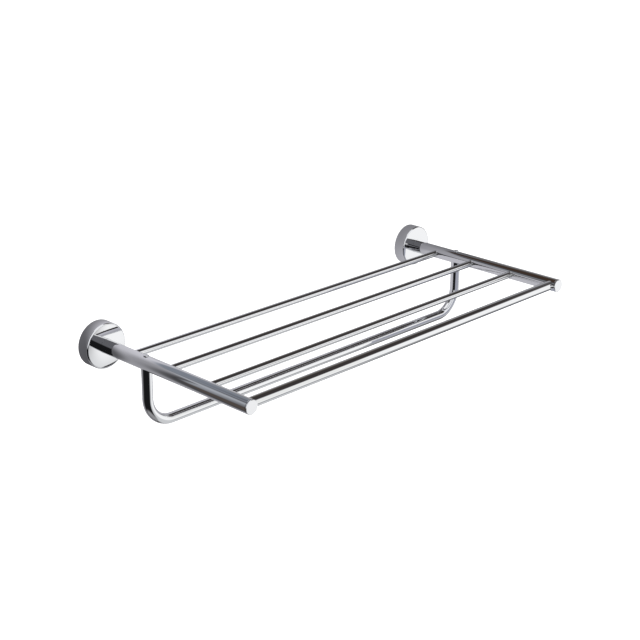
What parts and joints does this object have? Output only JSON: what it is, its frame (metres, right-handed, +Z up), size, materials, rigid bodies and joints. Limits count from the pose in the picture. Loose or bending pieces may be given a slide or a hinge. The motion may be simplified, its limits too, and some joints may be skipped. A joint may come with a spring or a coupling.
{
  "type": "towel bar",
  "caption": "Wall shelf for towels: thin round bars and a thicker front bar between two side tubes on round rosettes, with a U-shaped towel bar hanging under it.",
  "frame": {"origin": "on the wall plane, midway between the two side tubes and level with their centre lines", "axes": "+X to the right along the bars, +Y into the wall, +Z up; the front of the shelf faces -Y"},
  "size_m": [0.6, 0.257, 0.1103],
  "materials": {
    "polished_chrome": "bright polished chrome plate",
    "zinc_plate": "dull zinc-plated steel",
    "screw_steel": "satin stainless steel",
    "insert_brass": "turned brass"
  },
  "bodies": {
    "root": {"wall_plate_left": "zinc_plate", "wall_plate_right": "zinc_plate", "rosette_left": "polished_chrome", "rosette_right": "polished_chrome", "rosette_grub_screw_left": "screw_steel", "rosette_grub_screw_right": "screw_steel", "tube_bolt_left": "screw_steel", "tube_bolt_right": "screw_steel", "tube_bolt_washer_left": "screw_steel", "tube_bolt_washer_right": "screw_steel", "tube_insert_left": "insert_brass", "tube_insert_right": "insert_brass", "side_tube_left": "polished_chrome", "side_tube_right": "polished_chrome", "end_cap_left": "polished_chrome", "end_cap_right": "polished_chrome", "towel_bar_screw_left": "polished_chrome", "towel_bar_screw_right": "polished_chrome", "towel_bar_insert_left": "insert_brass", "towel_bar_insert_right": "insert_brass", "shelf_bar_rear": "polished_chrome", "shelf_bar_second": "polished_chrome", "shelf_bar_third": "polished_chrome", "shelf_bar_front": "polished_chrome", "towel_bar": "polished_chrome"}
  },
  "joints": []
}
